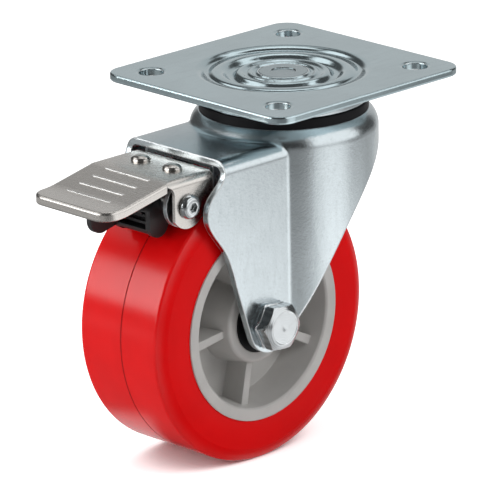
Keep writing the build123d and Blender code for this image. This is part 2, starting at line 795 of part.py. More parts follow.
# ---------------------------------------------------------------- brake bracket and its spring
ear_top = ear_r - pivot_drop
with BuildPart() as brake_bracket:
    with BuildSketch(Plane.XZ):
        with Locations(pivot):
            Circle(ear_r)
        with Locations((bracket_back, shelf_under)):
            Rectangle(bracket_l, bracket_heel, align=(Align.MIN, Align.MAX))
        make_hull()
        with Locations((bracket_front, ear_top)):
            Rectangle(pivot_x, axle_drop, align=(Align.MIN, Align.MIN), mode=Mode.SUBTRACT)
        with Locations(pivot):
            Circle(pivot_r + running_fit, mode=Mode.SUBTRACT)
    extrude(amount=cheek_out, both=True)
    fillet(brake_bracket.edges().filter_by(Axis.X).group_by(Axis.Z)[-1], bracket_t)
    with BuildSketch(Plane.XY.offset(shelf_under - bracket_t)):
        Rectangle(axle_drop, 2 * cheek_in, align=(Align.MIN, Align.CENTER))
    extrude(amount=-axle_drop, mode=Mode.SUBTRACT)
    with Locations((spring_rivet_x, 0, shelf_under)):
        Hole(spring_rivet_r)
finish(brake_bracket, "brake_bracket")

spring_z = shelf_under - bracket_t - spring_t / 2
spring_tip_x = pivot_x - shoe_back_r - spring_t
with BuildPart() as detent_spring:
    with BuildLine(Plane.XZ):
        FilletPolyline(
            (spring_back, spring_z),
            (spring_back + spring_flat_l, spring_z),
            (spring_tip_x, -pivot_drop),
            radius=spring_bend_r,
        )
    with BuildSketch(Plane(origin=(spring_back, 0, spring_z), x_dir=(0, 1, 0), z_dir=(1, 0, 0))):
        Rectangle(spring_w, spring_t)
    sweep()
    with Locations((spring_rivet_x, 0, shelf_under)):
        Hole(spring_rivet_r)
finish(detent_spring, "detent_spring")

with BuildPart() as spring_rivet:
    with BuildSketch(Plane.XZ):
        with BuildLine():
            rivet_seat = shelf_under - bracket_t - spring_t
            Polyline(
                (0, rivet_seat - spring_rivet_head_t),
                (0, shelf_under),
                (spring_rivet_r, shelf_under),
                (spring_rivet_r, rivet_seat),
                (spring_rivet_head_r, rivet_seat),
            )
            TangentArc(
                (0, rivet_seat - spring_rivet_head_t), (spring_rivet_head_r, rivet_seat), tangent=(1, 0)
            )
        make_face()
    revolve(axis=Axis.Z)
spring_rivet.part.locate(Location((spring_rivet_x, 0, 0)))
finish(spring_rivet, "spring_rivet")

# ---------------------------------------------------------------- pivot of the brake
screw_seat = house_out + seat_gap
shoe_out = shoe_w / 2
with BuildPart() as pivot_screw:
    with BuildSketch():
        with BuildLine():
            crown_y = screw_seat + screw_head_t
            Polyline(
                (0, crown_y),
                (screw_head_r / 2, crown_y),
            )
            TangentArc(
                (screw_head_r / 2, crown_y), (screw_head_r, screw_seat + screw_head_t / 4), tangent=(1, 0)
            )
            Polyline(
                (screw_head_r, screw_seat + screw_head_t / 4),
                (screw_head_r, screw_seat),
                (pivot_r, screw_seat),
                (pivot_r, -screw_seat - pivot_nut_t),
                (0, -screw_seat - pivot_nut_t),
                (0, crown_y),
            )
        make_face()
    revolve(axis=Axis.Y)
    with BuildSketch(Plane.XZ.offset(-crown_y)):
        RegularPolygon(screw_socket_af / 2, 6, major_radius=False)
    extrude(amount=screw_socket_depth, mode=Mode.SUBTRACT)
put_on_pivot(pivot_screw)
finish(pivot_screw, "pivot_screw")

with BuildPart() as pivot_nut:
    with BuildSketch(Plane.XZ.offset(screw_seat)):
        RegularPolygon(pivot_nut_af / 2, 6, major_radius=False, rotation=30)
        Circle(pivot_r + running_fit, mode=Mode.SUBTRACT)
    extrude(amount=pivot_nut_t)
    with BuildSketch():
        Polygon(*hex_bevel(pivot_nut_af, -screw_seat - pivot_nut_t, -screw_seat), align=None)
    revolve(axis=Axis.Y, mode=Mode.INTERSECT)
put_on_pivot(pivot_nut)
finish(pivot_nut, "pivot_nut")

with BuildPart() as pivot_spacers:
    with BuildSketch():
        with Locations((pivot_r + running_fit, shoe_out + seat_gap)):
            Rectangle(
                spacer_r - pivot_r - running_fit, cheek_in - shoe_out - seat_gap, align=(Align.MIN, Align.MIN)
            )
        mirror(about=Plane.XZ)
    revolve(axis=Axis.Y)
put_on_pivot(pivot_spacers)
finish(pivot_spacers, "pivot_spacers")

# ---------------------------------------------------------------- pedal
slope = radians(pedal_slope)
tongue_half = house_out - pedal_side_step


def tongue_z(x):
    """Height of the pedal's top where the tongue falls away, between its bends."""
    return pedal_top - (x - pedal_bend_x) * tan(slope)


toe_bend_z = tongue_z(pedal_toe_bend_x)
tip_z = toe_bend_z - (pedal_tip - pedal_toe_bend_x) * tan(radians(pedal_toe_slope))


def bent_line(drop):
    """Draw the side line of the pedal from its back to its tip, so far below its top."""
    FilletPolyline(
        (pedal_back, pedal_top - drop),
        (pedal_bend_x, pedal_top - drop),
        (pedal_toe_bend_x, toe_bend_z - drop),
        (pedal_tip, tip_z - drop),
        radius=pedal_bend_r,
    )


with BuildPart() as house_cavity:
    with BuildSketch(Plane.XY.offset(pedal_under)):
        with Locations((pedal_back - pedal_t, 0)):
            Rectangle(pedal_tip - pedal_back, 2 * house_in, align=(Align.MIN, Align.CENTER))
    extrude(amount=-axle_drop)
    fillet(house_cavity.edges().filter_by(Axis.X).group_by(Axis.Z)[-1], pedal_fold_r - pedal_t)

with BuildPart() as pedal_house:
    with BuildSketch(Plane.XZ):
        with Locations(pivot):
            Circle(ear_r)
        with Locations((pedal_back, -pivot_drop - ear_back_fall)):
            Rectangle(pedal_back_reach, ear_r + ear_back_fall, align=(Align.MIN, Align.MIN))
        make_hull()
        with Locations((ear_front, pedal_top)):
            Rectangle(ear_r, axle_drop, align=(Align.MIN, Align.MAX), mode=Mode.SUBTRACT)
        with Locations((pedal_back, pedal_top)):
            Rectangle(ear_front + ear_relief_r - pedal_back, pedal_top - ear_top + ear_relief_r,
                      align=(Align.MIN, Align.MAX))
        with Locations((ear_front + ear_relief_r, pedal_under - seat_gap - ear_relief_r)):
            Circle(ear_relief_r, mode=Mode.SUBTRACT)
            Rectangle(2 * ear_relief_r, axle_drop, align=(Align.CENTER, Align.MAX), mode=Mode.SUBTRACT)
        with Locations((pedal_shoulder_x, pedal_top)):
            Rectangle(ear_relief_r, axle_drop, align=(Align.MIN, Align.MAX), mode=Mode.SUBTRACT)
    extrude(amount=house_out, both=True)
    fillet(pedal_house.edges().filter_by(Axis.X).group_by(Axis.Z)[-1], pedal_fold_r)
    add(house_cavity.part, mode=Mode.SUBTRACT)
    with BuildSketch(Plane.XZ):
        with BuildLine():
            bent_line(0)
            Polyline(
                (pedal_tip, tip_z),
                (pedal_tip, -axle_drop),
                (pedal_back, -axle_drop),
                (pedal_back, pedal_top),
            )
        make_face()
    extrude(amount=house_out, both=True, mode=Mode.INTERSECT)

with BuildPart() as tongue_cavity:
    with BuildSketch(Plane.XZ):
        with BuildLine():
            bent_line(pedal_t)
            Polyline(
                (pedal_tip, tip_z - pedal_t),
                (pedal_tip, -axle_drop),
                (pedal_back, -axle_drop),
                (pedal_back, pedal_under),
            )
        make_face()
    extrude(amount=tongue_half - pedal_t, both=True)
    with BuildSketch(Plane.XY.offset(-axle_drop)):
        with Locations((pedal_back, 0)):
            Rectangle(pedal_tip - pedal_t - pedal_back, 2 * (tongue_half - pedal_t),
                      align=(Align.MIN, Align.CENTER))
        fillet(vertices().group_by(Axis.X)[-1], pedal_corner_r - pedal_t)
    extrude(amount=axle_drop, mode=Mode.INTERSECT)

with BuildPart() as pedal_plate:
    with BuildSketch(Plane.XZ):
        with BuildLine():
            bent_line(0)
            Line((pedal_tip, tip_z), (pedal_tip, tip_z - pedal_lip))
            bent_line(pedal_lip)
            Line((pedal_back, pedal_top), (pedal_back, pedal_top - pedal_lip))
        make_face()
    extrude(amount=tongue_half, both=True)
    with BuildSketch(Plane.XY.offset(-axle_drop)):
        with Locations((pedal_shoulder_x - running_fit, 0)):
            Rectangle(pedal_tip - pedal_shoulder_x + running_fit, 2 * tongue_half,
                      align=(Align.MIN, Align.CENTER))
        fillet(vertices().group_by(Axis.X)[-1], pedal_corner_r)
    extrude(amount=axle_drop, mode=Mode.INTERSECT)
    tip_lines = pedal_plate.faces().sort_by(Axis.X)[-1].edges().group_by(Axis.Z)
    fillet(tip_lines[-1], pedal_edge_r)
    tip_lines = pedal_plate.faces().sort_by(Axis.X)[-1].edges().group_by(Axis.Z)
    fillet(tip_lines[0], pedal_hem_r)
    add(tongue_cavity.part, mode=Mode.SUBTRACT)
    add(pedal_house.part)
    for n in range(grip_count):
        grip_x = pivot_x + grip_first_reach + n * grip_pitch
        with Locations(Plane(origin=(grip_x, 0, tongue_z(grip_x)), x_dir=(cos(slope), 0, -sin(slope)),
                             z_dir=(sin(slope), 0, cos(slope)))):
            Box(grip_w, grip_l, 2 * grip_h)
    with Locations((rivet_x, 0, pedal_top)):
        with GridLocations(1, rivet_pitch, 1, 2):
            Hole(rivet_shank_r + running_fit)
    with BuildSketch(Plane.XZ):
        with Locations(pivot):
            Circle(pivot_r + running_fit)
    extrude(amount=2 * house_out, both=True, mode=Mode.SUBTRACT)
finish(pedal_plate, "pedal_plate")

# ---------------------------------------------------------------- brake shoe
shoe_in = shoe_out - shoe_wall
lobe = (shoe_front - lobe_r, -pivot_drop - lobe_fall)
shoe_cheek = (shoe_front - shoe_cheek_r, shoe_top_rise - pivot_drop - shoe_cheek_r)
with BuildPart() as brake_shoe:
    with BuildSketch(Plane.XZ):
        with Locations(pivot):
            Circle(shoe_boss_r)
        with Locations(shoe_cheek):
            Circle(shoe_cheek_r)
        with Locations(lobe):
            Circle(lobe_r)
        make_hull()
    extrude(amount=shoe_out, both=True)
    with BuildSketch(Plane.XZ):
        with Locations((shoe_front, shoe_hollow_top)):
            Rectangle(shoe_hollow_depth, shoe_hollow_top - shoe_bar_top, align=(Align.MAX, Align.MAX))
        with Locations((shoe_front, shoe_bar_z)):
            Rectangle(2 * lobe_r, lobe_r, align=(Align.MAX, Align.MAX))
    extrude(amount=shoe_in, both=True, mode=Mode.SUBTRACT)
    with BuildSketch(Plane.XZ):
        with GridLocations(0, shoe_rib_pitch, 1, 2):
            with Locations((shoe_front - shoe_rib_set_back, (shoe_hollow_top + shoe_bar_top) / 2)):
                Rectangle(shoe_hollow_depth, shoe_rib_t, align=(Align.MAX, Align.CENTER))
    extrude(amount=shoe_in, both=True)
    with BuildSketch(Plane.XZ):
        with Locations(pivot):
            Circle(shoe_back_r)
        with Locations((shoe_front - shoe_cheek_r, pedal_under)):
            Rectangle(shoe_back_r, shoe_back_r, align=(Align.MAX, Align.MAX))
    extrude(amount=shoe_neck_w / 2, both=True)
    with BuildSketch(Plane.XY.offset(pedal_under)):
        with Locations((pivot_x - shoe_flange_back_reach, 0)):
            Rectangle(
                shoe_flange_back_reach + shoe_flange_front_reach, shoe_flange_w,
                align=(Align.MIN, Align.CENTER),
            )
        fillet(vertices(), shoe_wall)
        with Locations((rivet_x, 0)):
            with GridLocations(1, rivet_pitch, 1, 2):
                Circle(rivet_shank_r + running_fit, mode=Mode.SUBTRACT)
    extrude(amount=-shoe_flange_t)
    with BuildSketch(Plane.XZ.offset(shoe_in)):
        with Locations((toe_x, toe_z)):
            Circle(toe_r)
        with BuildLine():
            Polyline(
                (pedal_bend_x, pedal_under - toe_gap),
                (toe_x + toe_r / 2, tongue_z(toe_x + toe_r / 2) - pedal_t - toe_gap),
                (toe_x, toe_z),
                (shoe_front - shoe_cheek_r, lobe[1] - shoe_rib_t),
                close=True,
            )
        make_face()
        make_hull()
    extrude(amount=shoe_wall)
    with BuildSketch(Plane.XZ):
        with Locations(pivot):
            Circle(pivot_r + running_fit)
    extrude(amount=shoe_out, both=True, mode=Mode.SUBTRACT)
finish(brake_shoe, "brake_shoe")

with BuildPart() as shoe_rivets:
    flange_foot = pedal_under - shoe_flange_t
    with BuildSketch(Plane.XZ):
        with BuildLine():
            TangentArc((0, pedal_top + rivet_head_h), (rivet_head_r, pedal_top), tangent=(1, 0))
            Polyline(
                (rivet_head_r, pedal_top),
                (rivet_shank_r, pedal_top),
                (rivet_shank_r, flange_foot),
                (rivet_foot_r, flange_foot),
                (rivet_foot_r, flange_foot - rivet_foot_t),
                (0, flange_foot - rivet_foot_t),
                (0, pedal_top + rivet_head_h),
            )
        make_face()
    revolve(axis=Axis.Z)
    with Locations((0, rivet_pitch, 0)):
        add(shoe_rivets.part)
shoe_rivets.part.locate(Location((rivet_x, -rivet_pitch / 2, 0)))
finish(shoe_rivets, "shoe_rivets")
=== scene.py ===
"""Swivel castor with a toe brake: its finishes, the turned pieces, and a small studio."""

import json
from math import acos, cos, degrees, pi, radians, sin, tan

import bpy
from mathutils import Matrix, Vector

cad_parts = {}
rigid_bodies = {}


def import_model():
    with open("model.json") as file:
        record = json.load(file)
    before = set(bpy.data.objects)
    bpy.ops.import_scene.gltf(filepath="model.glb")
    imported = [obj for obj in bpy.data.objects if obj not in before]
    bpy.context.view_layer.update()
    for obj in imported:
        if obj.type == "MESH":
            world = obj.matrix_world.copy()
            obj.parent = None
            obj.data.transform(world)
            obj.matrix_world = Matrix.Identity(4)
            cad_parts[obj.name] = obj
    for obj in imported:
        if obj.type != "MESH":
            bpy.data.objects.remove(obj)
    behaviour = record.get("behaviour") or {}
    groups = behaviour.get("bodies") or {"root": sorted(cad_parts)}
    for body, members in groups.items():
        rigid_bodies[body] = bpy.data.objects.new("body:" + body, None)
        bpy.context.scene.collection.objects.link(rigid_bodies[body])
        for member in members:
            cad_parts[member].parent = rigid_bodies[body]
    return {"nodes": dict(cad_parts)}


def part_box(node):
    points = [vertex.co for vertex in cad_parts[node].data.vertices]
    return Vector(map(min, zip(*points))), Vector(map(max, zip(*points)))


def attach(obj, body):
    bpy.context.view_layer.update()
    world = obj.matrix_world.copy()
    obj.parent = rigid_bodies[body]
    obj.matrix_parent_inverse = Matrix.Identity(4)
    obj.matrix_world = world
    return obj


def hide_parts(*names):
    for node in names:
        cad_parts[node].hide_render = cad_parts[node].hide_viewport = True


for leftover in list(bpy.data.objects):
    bpy.data.objects.remove(leftover)
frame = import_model()

bl_info = {
    "name": "Swivel Castor",
    "version": (1, 0, 0),
    "blender": (4, 5, 0),
    "location": "View3D > Sidebar > Castor",
    "description": "Dresses a plate-mounted swivel castor with a toe brake and lights it",
    "category": "Object",
}

MM = 0.001
MERGE = 2e-6                     # points nearer than this are one point
AXLE = sum(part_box("axle_sleeve"), Vector()) / 2
PIVOT = sum(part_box("pivot_spacers"), Vector()) / 2
TREAD_R = (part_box("tyre")[1].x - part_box("tyre")[0].x) / 2
TYRE_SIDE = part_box("tyre")[1].y
FLOOR_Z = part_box("tyre")[0].z
RIVET_R = 4.4                    # mm, head of each of the shoe's rivets
RIVET_RIM = 0.5                  # upright edge under the dome
RIVET_DOME = 1.9
RIVET_SHANK_R = 2.0
RIVET_FOOT_R = 3.0
RIVET_FOOT_H = 1.0
RIVET_SEAT = 1.6 * MM            # from the top of the rivets in the frame down to the pedal
DISH_RING = (33.2 * MM, 1.8 * MM, 1.3 * MM)   # radius, half width and depth of the plate's shaded ring
WHITE = (1.0, 1.0, 1.0, 1.0)
EDGE_PAINTED_HIGHLIGHT = (0.93, 0.945, 0.95)   # painted highlight: near-white colour given to zinc or steel edges, standing for the line of light they catch
LIT_POINT = Vector((0.02, 0.0, -0.08))   # what the lamps look at
SHADOW_REACH = 40.0 * MM         # things nearer the floor than this take away from its glow
SHADOW_OPEN = (0.12, 0.5)        # how open the floor is where its glow starts, and where it is full

# The camera sees a white room. What is polished mirrors another one: a shell of soft patches, set
# where they give the zinc its bright and dark bands from the front. They aren't a real room.
ROOM_R = 1.6                     # radius of that shell
ROOM_EYE = (0.0, 0.0, -0.06)     # point that the room's directions are measured from
ROOM_DARK = 0.09                 # the room between its lit parts
ROOM_PARTS = (                   # azimuth, half width, lowest, highest and softness in degrees; shade
    (0.0, 200.0, -100.0, -11.5, 2.0, 0.80),     # floor
    (104.0, 20.0, -60.0, -8.0, 12.0, 1.45),     # floor in front of the right box
    (165.0, 14.0, -60.0, -8.0, 9.0, 0.42),      # floor between box and back wall
    (52.0, 16.0, -60.0, -8.0, 7.0, 0.46),       # floor before the camera
    (15.0, 26.0, -60.0, -17.0, 3.0, 0.03),      # dark cloth beside it
    (54.0, 22.0, -15.5, 20.0, 3.5, 0.04),       # dark curtain behind the camera
    (330.0, 60.0, -48.0, -13.5, 2.5, 0.03),     # dark cloth on the floor at the left
    (217.0, 28.0, -18.0, 64.0, 6.0, 0.62),      # back wall
    (226.0, 34.0, 36.0, 44.0, 2.0, 0.10),       # dark rail along it
    (111.0, 34.0, -3.0, 52.0, 4.0, 1.35),       # right box
    (167.0, 22.0, 45.0, 66.0, 4.0, 1.25),       # its upper corner
    (307.0, 36.0, 36.0, 60.0, 4.0, 1.35),       # left box
    (222.0, 70.0, 65.0, 100.0, 4.0, 1.35),      # overhead
)
LAMPS = (                        # azimuth, elevation, distance, width, height, radiance, mirrored
    ("overhead_box", -60.0, 76.0, 1.0, 1.0, 0.8, 2.1, False),
    ("right_box", 106.0, 34.0, 1.0, 0.6, 0.5, 4.5, False),
    ("left_box", -22.0, 17.0, 0.95, 0.85, 0.42, 4.3, True),
)


# ---------------------------------------------------------------- shader expressions
class Wire:
    """An output of a shader node. Arithmetic on it adds Math nodes."""

    def __init__(self, finish, socket):
        self.finish, self.socket = finish, socket

    def maths(self, operation, *values):
        return self.finish.node("Math", {"operation": operation}, dict(enumerate(values)))

    def __add__(self, other):
        return self.maths("ADD", self, other)

    def __radd__(self, other):
        return self.maths("ADD", other, self)

    def __sub__(self, other):
        return self.maths("SUBTRACT", self, other)

    def __rsub__(self, other):
        return self.maths("SUBTRACT", other, self)

    def __mul__(self, other):
        return self.maths("MULTIPLY", self, other)

    def __rmul__(self, other):
        return self.maths("MULTIPLY", other, self)

    def __truediv__(self, other):
        return self.maths("DIVIDE", self, other)


class Finish:
    """A material or world under construction."""

    def __init__(self, owner):
        owner.use_nodes = True
        self.owner, self.tree = owner, owner.node_tree
        self.tree.nodes.clear()

    def node(self, kind, settings=None, inputs=None, output=0):
        """Add one node: its settings first, then values or wires for its sockets. Returns one output."""
        made = self.tree.nodes.new("ShaderNode" + kind)
        for key, value in (settings or {}).items():
            setattr(made, key, value)
        for key, value in (inputs or {}).items():
            socket = made.inputs[key]
            if isinstance(value, Wire):
                self.tree.links.new(value.socket, socket)
            else:
                socket.default_value = value
        return Wire(self, made.outputs[output]) if made.outputs else made

    def place(self, stretch=(1.0, 1.0, 1.0), centre=(0.0, 0.0, 0.0)):
        """Object coordinates about a centre, stretched."""
        here = self.node("TexCoord", output="Object")
        moved = self.node("VectorMath", {"operation": "SUBTRACT"}, {0: here, 1: tuple(centre)})
        return self.node("Mapping", {}, {"Vector": moved, "Scale": stretch})

    def noise(self, where, scale, detail=2.0, roughness=0.5):
        return self.node("TexNoise", {}, {
            "Vector": where, "Scale": scale, "Detail": detail, "Roughness": roughness})

    def between(self, value, low, high, to_low=0.0, to_high=1.0):
        """Value carried smoothly from low..high to to_low..to_high."""
        return self.node("MapRange", {"interpolation_type": "SMOOTHSTEP"}, {
            "Value": value, "From Min": low, "From Max": high, "To Min": to_low, "To Max": to_high})

    def mix(self, share, first, second):
        """Two colours mixed by a share of the second."""
        settings = {"data_type": "RGBA", "clamp_factor": True}
        return self.node("Mix", settings, {0: share, 6: colour4(first), 7: colour4(second)}, output=2)

    def edges(self, radius):
        """Normal with its edges rounded over, and how much of an edge each place is."""
        rounded = self.node("Bevel", {"samples": 6}, {"Radius": radius})
        plain = self.node("NewGeometry", output="Normal")
        inputs = {0: rounded, 1: plain}
        alike = self.node("VectorMath", {"operation": "DOT_PRODUCT"}, inputs, output="Value")
        return rounded, self.between(1.0 - alike, 0.01, 0.16)

    def bump(self, height, depth, strength=1.0, normal=None):
        inputs = {"Height": height, "Distance": depth, "Strength": strength}
        if normal is not None:
            inputs["Normal"] = normal
        return self.node("Bump", {}, inputs)

    def surface(self, **sockets):
        """Close a material with a Principled shader; sockets are named with underscores."""
        named = {key.replace("_", " "): value for key, value in sockets.items()}
        shader = self.node("BsdfPrincipled", {}, named)
        self.node("OutputMaterial", {}, {"Surface": shader})
        return self.owner


def colour4(colour):
    return colour if isinstance(colour, Wire) else (*tuple(colour)[:3], 1.0)


def new_finish(name):
    return Finish(bpy.data.materials.new(name))


def coat_node(node, material):
    """Give a CAD node its finish."""
    node_object = frame["nodes"][node]
    node_object.data.materials.clear()
    node_object.data.materials.append(material)


# ---------------------------------------------------------------- finishes
def tone(colour, gain):
    """A colour made lighter or darker."""
    return tuple(min(1.0, part * gain) for part in colour)


def from_axis(f, where, flat):
    """Distance from an axis through the origin; flat has a 0 along that axis and 1 across it."""
    across = f.node("VectorMath", {"operation": "MULTIPLY"}, {0: where, 1: flat})
    return f.node("VectorMath", {"operation": "LENGTH"}, {0: across}, output="Value")


def zinc_finish(name, tint, roughness, grain=(1.0, 1.0, 1.0), grit=1.0, rounding=0.0006, dent=None):
    """Bright zinc plate over pressed or rolled steel, with the grain that the rolling left.

    A dent is the radius, half width and depth of a ring about the Z axis, pressed in by shading alone.
    """
    f = new_finish(name)
    here = f.place()
    rolled = f.place(grain)
    clouds = f.noise(here, 34.0, 4.0, 0.6)
    speckle = f.noise(here, 1000.0, 3.0, 0.7)
    pits = f.noise(here, 620.0, 2.0, 0.5)
    lines = f.noise(rolled, 420.0, 4.0, 0.65)
    rounded, edge = f.edges(rounding)
    if dent:
        radius, half, depth = dent
        off = (from_axis(f, here, (1.0, 1.0, 0.0)) - radius) / half
        ring = off.maths("EXPONENT", off * off * -1.0)
        rounded = f.bump(1.0 - ring, depth, 1.0, rounded)
    bright = f.mix(f.between(clouds, 0.32, 0.68), tone(tint, 0.92), tint)
    streaked = f.mix(f.between(lines, 0.45, 0.8) * 0.3, bright, tone(tint, 0.78))
    flecked = f.mix(f.between(speckle, 0.56, 0.8) * (0.30 * grit), streaked, tone(tint, 0.7))
    # Painted highlight: edges get a near-white colour here and lose some of their metal below, so they
    # read as a bright line of light.
    base = f.mix(edge * 0.85, flecked, EDGE_PAINTED_HIGHLIGHT)
    rough = roughness + (clouds - 0.5) * 0.10 + (lines - 0.5) * 0.08
    rough = rough + (speckle - 0.5) * 0.16 - edge * 0.05
    height = speckle * (0.65 * grit) + pits * (0.25 * grit) + lines * 0.25
    normal = f.bump(height, 0.00006, 0.6, rounded)
    return f.surface(Base_Color=base, Metallic=1.0 - edge * 0.55, Roughness=rough, Normal=normal)


def turned_finish(name, tint, roughness, centre, axis):
    """Zinc-plated bolt steel with the rings that turning left about an axis."""
    f = new_finish(name)
    here = f.place(centre=centre)
    flat = tuple(0.0 if a else 1.0 for a in axis)
    reach = from_axis(f, here, flat)
    wobble = f.noise(here, 900.0, 2.0)
    rings = f.node("Math", {"operation": "SINE"}, {0: reach * 9000.0 + wobble * 4.0})
    clouds = f.noise(here, 240.0, 3.0)
    speckle = f.noise(here, 2600.0, 3.0, 0.7)
    rounded, edge = f.edges(0.00045)
    base = f.mix(f.between(rings, -0.6, 0.9) * 0.6 + clouds * 0.3, tint, tone(tint, 0.62))
    # Painted highlight: edges get a near-white colour, as if they caught the light.
    base = f.mix(edge * 0.8, base, EDGE_PAINTED_HIGHLIGHT)
    rough = roughness + (clouds - 0.5) * 0.08 + (speckle - 0.5) * 0.12 - edge * 0.04
    normal = f.bump(rings * 0.5 + speckle * 0.6, 0.00002, 0.5, rounded)
    return f.surface(Base_Color=base, Metallic=1.0, Roughness=rough, Normal=normal)


def brushed_finish(name, tint, roughness, brush):
    """Stainless sheet, brushed along one way."""
    f = new_finish(name)
    here = f.place()
    along = f.place(brush)
    strokes = f.noise(along, 1.0, 4.0, 0.65)
    fine = f.noise(along, 2.6, 3.0, 0.6)
    clouds = f.noise(here, 60.0, 3.0)
    rounded, edge = f.edges(0.0006)
    base = f.mix(f.between(strokes, 0.28, 0.72), tone(tint, 0.93), tone(tint, 1.06))
    # Painted highlight: edges get a near-white colour here and lose some of their metal below, as if
    # they caught the light.
    base = f.mix(edge * 0.75, base, tone(EDGE_PAINTED_HIGHLIGHT, 0.92))
    rough = roughness + (strokes - 0.5) * 0.16 + (clouds - 0.5) * 0.08 - edge * 0.06
    normal = f.bump(strokes * 0.6 + fine * 0.4, 0.00002, 0.4, rounded)
    return f.surface(Base_Color=base, Metallic=1.0 - edge * 0.5, Roughness=rough, Normal=normal)


def moulded_finish(name, tint, roughness, grain_scale, grain_depth, specular=0.5, rounding=0.0005):
    """Moulded plastic or rubber: a faint mottle from the flow of the melt and the grain of the mould."""
    f = new_finish(name)
    here = f.place()
    flow = f.noise(here, 55.0, 3.0)
    grain = f.noise(here, grain_scale, 2.0, 0.6)
    rub = f.noise(here, 210.0, 4.0, 0.7)
    rounded, edge = f.edges(rounding)
    base = f.mix(f.between(flow, 0.3, 0.7), tone(tint, 0.94), tone(tint, 1.06))
    # Painted highlight: edges are made lighter than the plastic or rubber, as if they caught the light.
    base = f.mix(edge * 0.5, base, tuple(min(1.0, part * 1.3 + 0.01) for part in tint))
    rough = roughness + (rub - 0.5) * 0.16 + (grain - 0.5) * 0.08
    normal = f.bump(grain, grain_depth, 0.6, rounded)
    return f.surface(
        Base_Color=base, Metallic=0.0, Roughness=rough, Specular_IOR_Level=specular, Normal=normal)


def tyre_finish(name, tint, roughness, parting_y, parting_w):
    """Cast polyurethane: glossy on its tread, quieter on its sides, dark in the parting line."""
    f = new_finish(name)
    here = f.place(centre=AXLE)
    apart = f.node("SeparateXYZ", {}, {"Vector": here}, output="Y")
    reach = from_axis(f, here, (1.0, 0.0, 1.0))
    flow = f.noise(here, 48.0, 3.0)
    grain = f.noise(here, 1700.0, 3.0, 0.65)
    from_line = f.node("Math", {"operation": "ABSOLUTE"}, {0: apart - parting_y})
    line = 1.0 - f.between(from_line, parting_w * 0.5, parting_w * 0.9)
    tread = f.between(reach, TREAD_R - 4.5 * MM, TREAD_R - 0.4 * MM)
    base = f.mix(f.between(flow, 0.3, 0.7), tone(tint, 0.96), tone(tint, 1.03))
    base = f.mix(line * 0.7, base, tone(tint, 0.45))
    rough = roughness + (grain - 0.5) * 0.12 + (flow - 0.5) * 0.05
    normal = f.bump(grain, 0.00001, 0.5)
    return f.surface(
        Base_Color=base, Metallic=0.0, Roughness=rough, Specular_IOR_Level=0.0,
        Coat_Weight=0.14 + tread * 0.7, Coat_Roughness=0.21, Normal=normal)


# ---------------------------------------------------------------- making meshes
def deselect():
    if bpy.context.object and bpy.context.object.mode != "OBJECT":
        bpy.ops.object.mode_set(mode="OBJECT")
    bpy.ops.object.select_all(action="DESELECT")


def start_point(name, place):
    """Begin a piece with one selected point, in edit mode."""
    deselect()
    bpy.ops.mesh.primitive_plane_add(size=MM, location=place)
    piece = bpy.context.object
    piece.name = piece.data.name = name
    bpy.ops.object.transform_apply(location=True, rotation=True, scale=True)
    bpy.ops.object.mode_set(mode="EDIT")
    bpy.ops.mesh.select_all(action="SELECT")
    bpy.ops.mesh.merge(type="CENTER")
    return piece


def draw_line(points):
    """Extrude the selected point along the rest of a line."""
    for here, there in zip(points, points[1:]):
        step = Vector(there) - Vector(here)
        bpy.ops.mesh.extrude_region_move(TRANSFORM_OT_translate={"value": step})


def close_mesh():
    """Merge what meets, face outwards, and leave edit mode."""
    bpy.ops.mesh.select_all(action="SELECT")
    bpy.ops.mesh.remove_doubles(threshold=MERGE)
    bpy.ops.mesh.normals_make_consistent(inside=False)
    bpy.ops.object.mode_set(mode="OBJECT")


def smooth(piece):
    """Smooth shading that keeps flat faces flat next to small rounds."""
    deselect()
    piece.select_set(True)
    bpy.context.view_layer.objects.active = piece
    bpy.ops.object.shade_smooth_by_angle(angle=radians(32.0))
    weighted = piece.modifiers.new("Weighted", "WEIGHTED_NORMAL")
    weighted.keep_sharp = True
    bpy.ops.object.modifier_apply(modifier=weighted.name)
    return piece


def rounded_corner(before, corner, after, radius, steps=5):
    """Points that round off one corner of a profile."""
    corner = Vector(corner)
    back = (Vector(before) - corner).normalized()
    on = (Vector(after) - corner).normalized()
    half = acos(back.dot(on)) / 2
    centre = corner + (back + on).normalized() * (radius / sin(half))
    first = corner + back * (radius / tan(half)) - centre
    last = corner + on * (radius / tan(half)) - centre
    sweep = first.angle_signed(last)
    return [tuple(centre + Matrix.Rotation(-sweep * n / steps, 2) @ first) for n in range(steps + 1)]


def turn_profile(name, profile, centre, axis, steps):
    """Turn a profile of (radius, place along the axis) about the Y or Z axis through a centre.

    A profile that starts on the axis is a line that ends on it; any other is closed.
    """
    centre = Vector(centre)
    if axis == "Y":
        points = [centre + Vector((r, h, 0.0)) * MM for r, h in profile]
        way = (0.0, 1.0, 0.0)
    else:
        points = [centre + Vector((r, 0.0, h)) * MM for r, h in profile]
        way = (0.0, 0.0, 1.0)
    piece = start_point(name, points[0])
    draw_line(points if profile[0][0] == 0.0 else points + points[:1])
    bpy.ops.mesh.select_all(action="SELECT")
    bpy.ops.mesh.remove_doubles(threshold=MERGE)
    bpy.ops.mesh.select_all(action="SELECT")
    bpy.ops.mesh.spin(steps=steps, angle=2 * pi, center=centre, axis=way, use_auto_merge=True)
    close_mesh()
    return smooth(piece)


def add_copy(piece, step):
    """Join a copy of a piece to it, a step away."""
    deselect()
    piece.select_set(True)
    bpy.context.view_layer.objects.active = piece
    bpy.ops.object.duplicate()
    bpy.ops.object.mode_set(mode="EDIT")
    bpy.ops.mesh.select_all(action="SELECT")
    bpy.ops.transform.translate(value=step)
    bpy.ops.object.mode_set(mode="OBJECT")
    piece.select_set(True)
    bpy.context.view_layer.objects.active = piece
    bpy.ops.object.join()


def settle(piece, material, body, node):
    """Finish a piece: its material, the body it rides on and the node it stands for."""
    piece.data.materials.clear()
    piece.data.materials.append(material)
    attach(piece, body)
    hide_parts(node)


